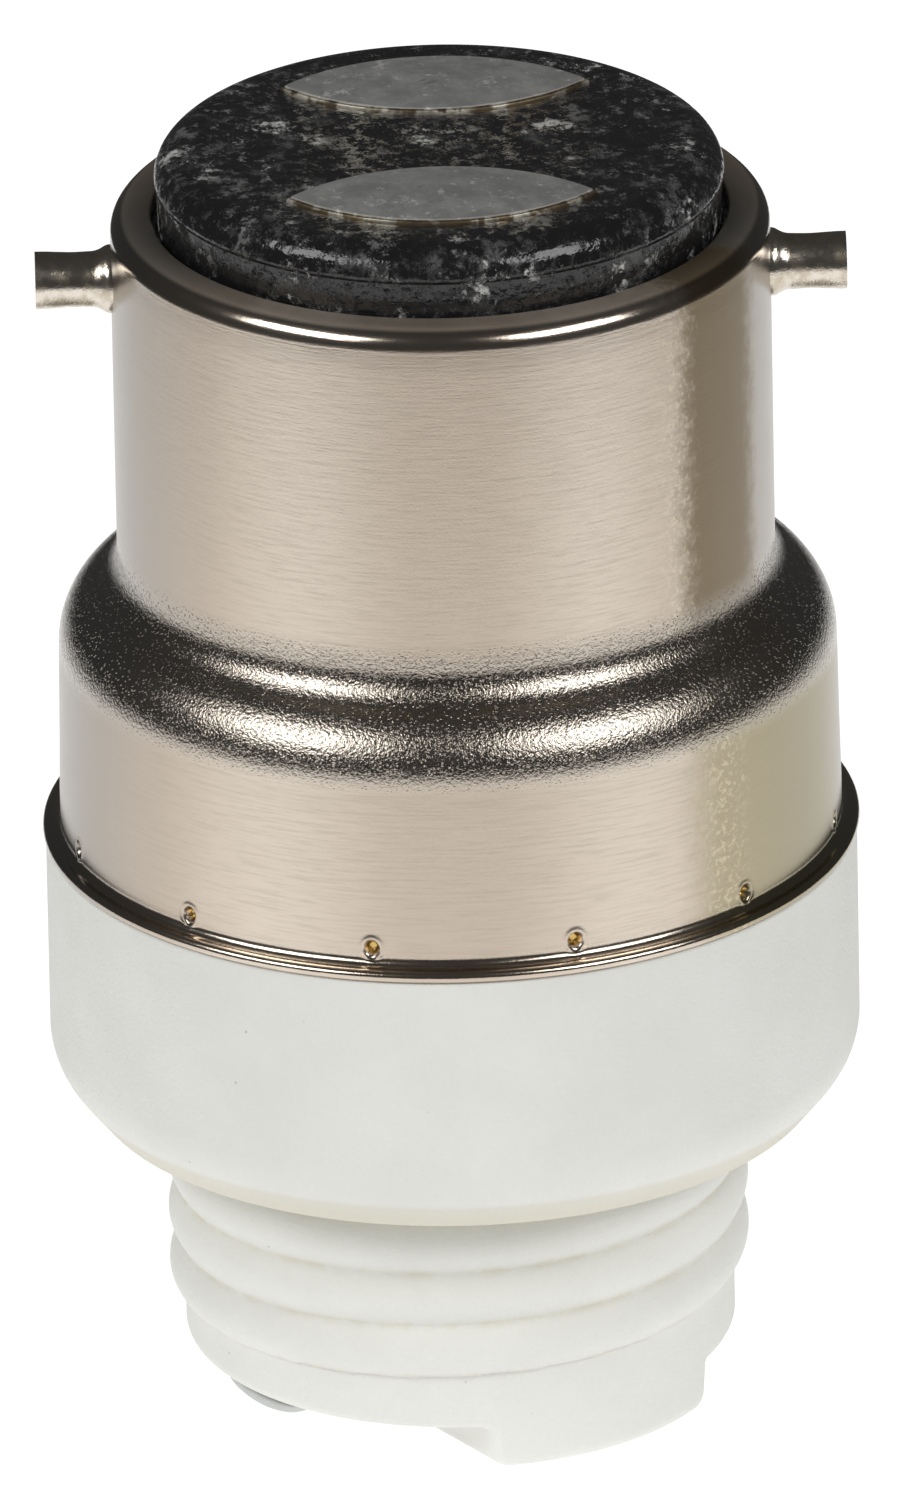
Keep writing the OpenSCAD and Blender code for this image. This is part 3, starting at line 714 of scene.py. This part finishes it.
contact_brass = Finish("tarnished_brass", Metallic=1.0)
tarnish = contact_brass.noise(contact_brass.place(), 1.8, 4.0).between(0.35, 0.65)
rubbed = contact_brass.noise(contact_brass.place(), 1.0, 4.0).between(0.48, 0.56)
brown = contact_brass.mix(tarnish, (0.40, 0.31, 0.19, 1), (0.13, 0.10, 0.07, 1))
contact_brass.set(
    Base_Color=contact_brass.mix(rubbed * 0.8, brown, (0.95, 0.90, 0.76, 1)),
    Roughness=0.3 + tarnish * 0.25,
)
solder = Finish("scuffed_solder", Metallic=1.0)
rubbed = solder.noise(solder.place(), 0.9, 5.0, 0.7)
scuffs = solder.noise(solder.place(7, 1, 1), 0.7, 5.0, 0.75).between(0.60, 0.72)
flecks = solder.noise(solder.place(), 2.0, 8.0, 0.8).between(0.56, 0.62)
grey = solder.mix(rubbed.between(0.35, 0.7), (0.56, 0.56, 0.55, 1), (0.70, 0.695, 0.67, 1))
solder.set(
    Base_Color=solder.mix(flecks, grey, (0.97, 0.96, 0.93, 1)),
    Roughness=0.62 + rubbed * 0.12 - scuffs * 0.2,
    Normal=solder.bump(rubbed * 0.6 + scuffs * 0.2, 0.03),
)
for side, name in ((-1, "front"), (1, "rear")):
    pocket = lens_skin("pocket", side, [
        (0.05, 0.5, plate_z - plate_t - 0.05), (0.05, 1, plate_z - plate_t - 0.05), (0.05, 1, plate_z + 1),
        (0.05, 0.5, plate_z + 1)], plate_z + 1)
    cut_away(glass, pocket)
    plate = lens_skin("contact_plate_" + name + "_skin", side, [
        (0, 0.5, plate_z - plate_t), (0, 1, plate_z - plate_t), (0, 1, plate_z - 0.1), (-0.03, 1, plate_z - 0.03),
        (-0.1, 1, plate_z), (0, 0.5, plate_z)], plate_z)
    wear(plate, contact_brass, "contact_brass", "contact_plate_" + name)
    dome = [(-0.12, 0.5, plate_z), (-0.12, 1, plate_z), (-0.13, 1, plate_z + 0.05)]
    dome += [
        (-0.13, share, plate_z + 0.05 + (solder_t - 0.05) * (1 - share**2)) for share in (0.98, 0.9, 0.75, 0.55, 0.3)
    ]
    cover = lens_skin("solder_" + name, side, dome, plate_z + solder_t)
    wear(cover, solder, "solder", "contact_solder_" + name)

black_glass = Finish("black_glass", IOR=1.52)
handled = black_glass.noise(black_glass.place(), 0.3, 3.0).between(0.46, 0.60)
dust = black_glass.noise(black_glass.place(), 0.9, 8.0, 0.8).between(0.50, 0.62)
frost = black_glass.noise(black_glass.place(), 2.2, 8.0, 0.8).between(0.55, 0.66)
chips = black_glass.noise(black_glass.place(), 0.5, 9.0, 0.85).between(0.55, 0.59) * (handled * 0.8 + 0.2)
whitish = (dust * handled * 0.12 + frost * handled * 0.35 + frost * 0.04 + 0.008).most(chips * 0.95)
lines = black_glass.noise(black_glass.place(0.6, 7, 2), 1.0, 4.0, 0.65).between(0.56, 0.66)
black_glass.set(
    Base_Color=black_glass.mix(whitish, (0.006, 0.006, 0.007, 1), (0.62, 0.62, 0.60, 1)),
    Roughness=0.09 + dust * 0.22 + lines * 0.15,
    Normal=black_glass.bump(
        black_glass.noise(black_glass.place(), 1.1, 4.0) + frost * 0.25 + chips * 0.5, 0.09
    ),
)
wear(glass, black_glass, "black_glass", "insulator")

# Retaining clips
# Two strips of rolled spring steel. Each lies against a long side of the slot, with a bump that
# grips the lamp's base, and is folded double under the end of the body beside the bar.
clip_w, clip_t, clip_leg, clip_bump, clip_fold = 4.6, 0.34, 10.5, 0.24, 4.2
clip_reach = -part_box("retaining_clip_front")[0][1] / MM
fit = 0.05
tab_z = bar_h - fit - clip_t / 2
leg_y = slot_w / 2 - fit - clip_t / 2
grip_z, bump_half = 6.3, 1.7
fold_r = clip_t / 2 + fit
clip_path = np.concatenate([
    [(-leg_y, clip_leg), (-leg_y, grip_z + bump_half)],
    [(clip_bump - leg_y, grip_z), (-leg_y, grip_z - bump_half)],
    arc((-leg_y - clip_t, tab_z + clip_t), clip_t, 0, -quarter, 6),
    arc((clip_t / 2 + fold_r - clip_reach, tab_z - fold_r), fold_r, quarter, 3 * quarter, 10),
    [(clip_fold - clip_reach, tab_z - 2 * fold_r)],
])
step = np.gradient(clip_path, axis=0)
across = np.stack([-step[:, 1], step[:, 0]], 1) / np.linalg.norm(step, axis=1, keepdims=True)
edge = 0.06
half_w, half_t = clip_w / 2, clip_t / 2
run = np.linspace(edge - half_w, half_w - edge, 25)
section = np.concatenate([
    [(x, -half_t) for x in run],
    [(half_w, edge - half_t), (half_w, half_t - edge)],
    [(x, half_t) for x in run[::-1]],
    [(-half_w, half_t - edge), (-half_w, edge - half_t)],
])
dome = 0.12 + 0.88 * np.sqrt(1 - (section[:, 0] / half_w) ** 2)
clip_top = tab_z + half_t
rolled_steel = Finish("rolled_steel", Metallic=1.0)
rolling = rolled_steel.noise(rolled_steel.place(8, 1, 1), 0.8, 4.0)
rolled_steel.set(
    Base_Color=rolled_steel.mix(rolling, (0.48, 0.49, 0.48, 1), (0.60, 0.61, 0.59, 1)),
    Roughness=0.42 + rolling * 0.12,
)
for side, name in ((-1, "front"), (1, "rear")):
    yz = clip_path[:, None] + across[:, None] * section[None, :, 1:]
    x = np.broadcast_to(section[:, 0], yz.shape[:2])
    outside_bar = np.clip((-yz[..., 0] - 3.7) / 0.6, 0, 1) * (yz[..., 1] < clip_top)
    pinch = 1 - outside_bar * (1 - dome)
    near_edge = np.clip((-yz[..., 0] - clip_reach + 1.6) / 1.6, 0, 1)
    yz = np.stack([yz[..., 0] + near_edge * (1 - dome) * 0.6, clip_top - (clip_top - yz[..., 1]) * pinch], -1)
    grid = np.stack([x * -side, yz[..., 0] * -side, yz[..., 1]], -1)
    ends = [np.array((0, -side * p[0], p[1])) for p in (clip_path[0], clip_path[-1])]
    clip = skin("spring_clip_" + name, grid, *ends)
    wear(clip, rolled_steel, "clip_steel", "retaining_clip_" + name)

# Floor, lamps and camera
# The converter stands on a pale floor between two soft boxes in front of it, left and right, in
# a dark room. The camera looks down at it from far away.
mesh = bpy.data.meshes.new("floor")
round_turns = np.linspace(0, 2 * np.pi, 96, endpoint=False)
reach = 0.13
mesh.from_pydata(
    [(reach * math.cos(a), reach * math.sin(a), 0) for a in round_turns], [], [range(len(round_turns))]
)
floor = bpy.data.objects.new("floor", mesh)
bpy.context.scene.collection.objects.link(floor)
paper = Finish(
    "white_paper", Base_Color=(0.5, 0.5, 0.5, 1), Roughness=0.9, Specular_IOR_Level=0.0,
    Emission_Color=(1, 1, 1, 1), Emission_Strength=0.8,
)
paper.set(Alpha=1 - paper.node("ShaderNodeNewGeometry", {}, {}, out="Backfacing"))
mesh.materials.append(paper.material)

aim = Vector((0, 0, 0.0224))


def direction(turn, rise):
    """The way from the object at an angle to the right of the photographer, and a height."""
    plan = FRONT + math.radians(turn)
    rise = math.radians(rise)
    return Vector((math.cos(plan) * math.cos(rise), math.sin(plan) * math.cos(rise), math.sin(rise)))


soft_boxes = (("soft_box_left", -54, 38, 0.60, 0.34, 3.3), ("soft_box_right", 48, 38, 0.56, 0.34, 3.1))
for name, turn, rise, wide, tall, power in soft_boxes:
    light = bpy.data.lights.new(name, "AREA")
    light.shape = "RECTANGLE"
    light.size, light.size_y = wide, tall
    light.energy = power
    box = bpy.data.objects.new(name, light)
    box.location = aim + direction(turn, rise) * 0.9
    box.rotation_euler = (-direction(turn, rise)).to_track_quat("-Z", "Y").to_euler()
    bpy.context.scene.collection.objects.link(box)

world = bpy.data.worlds.new("room")
world.use_nodes = True
bpy.context.scene.world = world
room = Finish("room", world.node_tree)
seen = [room.node("ShaderNodeLightPath", {}, {}, out="Is " + ray + " Ray") for ray in ("Camera", "Diffuse", "Glossy")]
strength = seen[0] * 1.0 + seen[1] * 0.2 + seen[2] * 0.05
room.plug(world.node_tree.nodes["Background"].inputs["Strength"], strength)
world.node_tree.nodes["Background"].inputs["Color"].default_value = (1, 1, 1, 1)

camera_away, rise, roll = 1.25, 23.3, 1.1
camera_data = bpy.data.cameras.new("camera")
camera_data.sensor_width = 36
camera_data.lens = 36 * camera_away / 0.05025
camera_data.clip_end = 20
camera = bpy.data.objects.new("camera", camera_data)
looking = -direction(0, rise)
turned = looking.to_track_quat("-Z", "Y").to_matrix() @ Matrix.Rotation(math.radians(-roll), 3, "Z")
camera.matrix_world = Matrix.Translation(aim - looking * camera_away) @ turned.to_4x4()
bpy.context.scene.collection.objects.link(camera)
bpy.context.scene.camera = camera
bpy.context.scene.view_settings.view_transform = "Standard"
